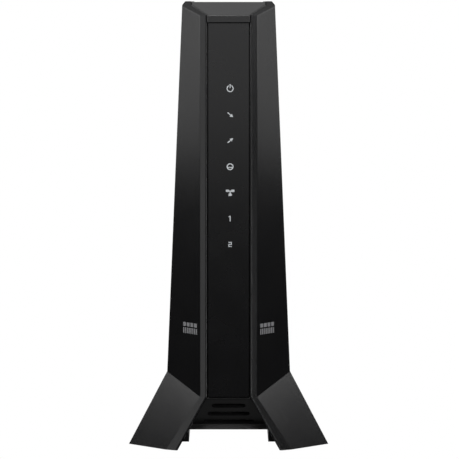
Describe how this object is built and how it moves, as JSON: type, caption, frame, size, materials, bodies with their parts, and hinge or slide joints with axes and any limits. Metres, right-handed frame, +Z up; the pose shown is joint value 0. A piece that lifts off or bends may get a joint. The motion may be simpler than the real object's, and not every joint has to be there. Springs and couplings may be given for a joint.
{
  "type": "cable modem",
  "caption": "Black tower cable modem on splayed legs, with a recessed front strip of lights and a vertical column of network, telephone, coaxial and power ports behind.",
  "frame": {"origin": "on the floor, under the middle of the case (bottom centre of the bounding box)", "axes": "+Z up, front panel faces -Y, connectors face +Y, +X is to the right seen from the front"},
  "size_m": [0.113, 0.15, 0.2503],
  "materials": {
    "case_black": "fine spark-eroded texture, satin black",
    "cap_black": "satin black",
    "panel_black": "smooth satin black",
    "icon_white": "printed translucent white",
    "mark_grey": "printed grey",
    "screw_black": "black zinc",
    "screw_steel": "zinc plated",
    "board_green": "solder mask over glass laminate",
    "chip_black": "moulded epoxy",
    "ferrite": "dull grey",
    "capacitor_sleeve": "aluminium can",
    "bare_aluminium": "extruded, clear anodised",
    "pad_silicone": "soft silicone",
    "tin_plate": "tin plated sheet",
    "led_white": "white package",
    "clear_guide": "clear moulded acrylic",
    "socket_black": "moulded black nylon",
    "gold_contacts": "gold flash",
    "nickel_plate": "bright nickel plate",
    "insulator_white": "natural polymer",
    "plunger_white": "natural nylon",
    "button_black": "satin black",
    "label_silver": "blank film label",
    "pad_rubber": "soft black rubber"
  },
  "bodies": {
    "case": {"badge_left": "mark_grey", "badge_right": "mark_grey", "base_plate": "case_black", "base_screws": "screw_black", "board_screws": "screw_steel", "capacitors": "capacitor_sleeve", "coax_body": "nickel_plate", "coax_contact": "gold_contacts", "coax_insulator": "insulator_white", "coax_nut": "nickel_plate", "coax_washer": "nickel_plate", "dc_jack": "socket_black", "dc_pin": "nickel_plate", "ethernet_contacts": "gold_contacts", "ethernet_jack": "socket_black", "ethernet_transformer": "chip_black", "foot_pad_front_left": "pad_rubber", "foot_pad_front_right": "pad_rubber", "foot_pad_rear_left": "pad_rubber", "foot_pad_rear_right": "pad_rubber", "front_panel": "panel_black", "heatsink": "bare_aluminium", "icon_downstream": "icon_white", "icon_line_1": "icon_white", "icon_line_2": "icon_white", "icon_link": "icon_white", "icon_online": "icon_white", "icon_power": "icon_white", "icon_upstream": "icon_white", "inductors": "ferrite", "leds": "led_white", "left_shell": "case_black", "light_guide": "clear_guide", "main_board": "board_green", "memory_chips": "chip_black", "modem_chip": "chip_black", "phone_chip": "chip_black", "phone_contacts": "gold_contacts", "phone_jack_1": "socket_black", "phone_jack_2": "socket_black", "power_switch": "socket_black", "rating_label": "label_silver", "rear_panel": "case_black", "rear_screws": "screw_black", "reset_switch": "socket_black", "right_shell": "case_black", "thermal_pad": "pad_silicone", "top_cap": "cap_black", "tuner_shield": "tin_plate"},
    "power_button": {"power_button": "button_black", "power_plunger": "plunger_white"},
    "reset_button": {"reset_button": "plunger_white"}
  },
  "joints": [
    {"name": "power_button_press", "type": "slide", "parent": "case", "child": "power_button", "axis": [0, -1, 0], "range_m": [0, 0.0025], "stiffness_N_per_m": 180, "springref_m": -0.003},
    {"name": "reset_button_press", "type": "slide", "parent": "case", "child": "reset_button", "axis": [0, -1, 0], "range_m": [0, 0.0006], "stiffness_N_per_m": 200, "springref_m": -0.001}
  ]
}
